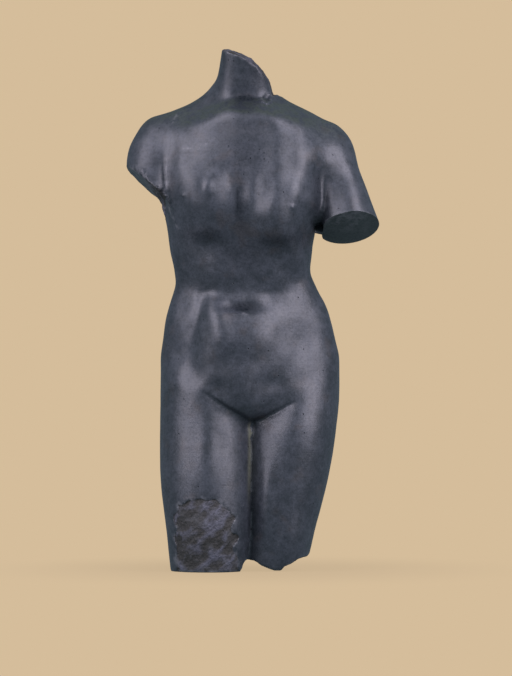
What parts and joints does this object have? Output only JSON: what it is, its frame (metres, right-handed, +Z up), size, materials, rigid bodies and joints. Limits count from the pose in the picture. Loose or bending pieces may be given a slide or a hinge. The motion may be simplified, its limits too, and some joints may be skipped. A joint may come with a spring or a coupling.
{
  "type": "stone torso sculpture",
  "caption": "Standing female torso carved in dark polished stone, broken at the neck, one shoulder and above the knees, the other upper arm cut flat.",
  "frame": {"origin": "on the ground, under the middle of the figure's bounding box", "axes": "+Z up along the figure, -Y the way the figure faces, +X towards the figure's left arm"},
  "size_m": [0.4847, 0.2545, 0.9998],
  "materials": {
    "stone": "dark grey carved stone with a satin polish"
  },
  "bodies": {
    "root": {"torso": "stone"}
  },
  "joints": []
}
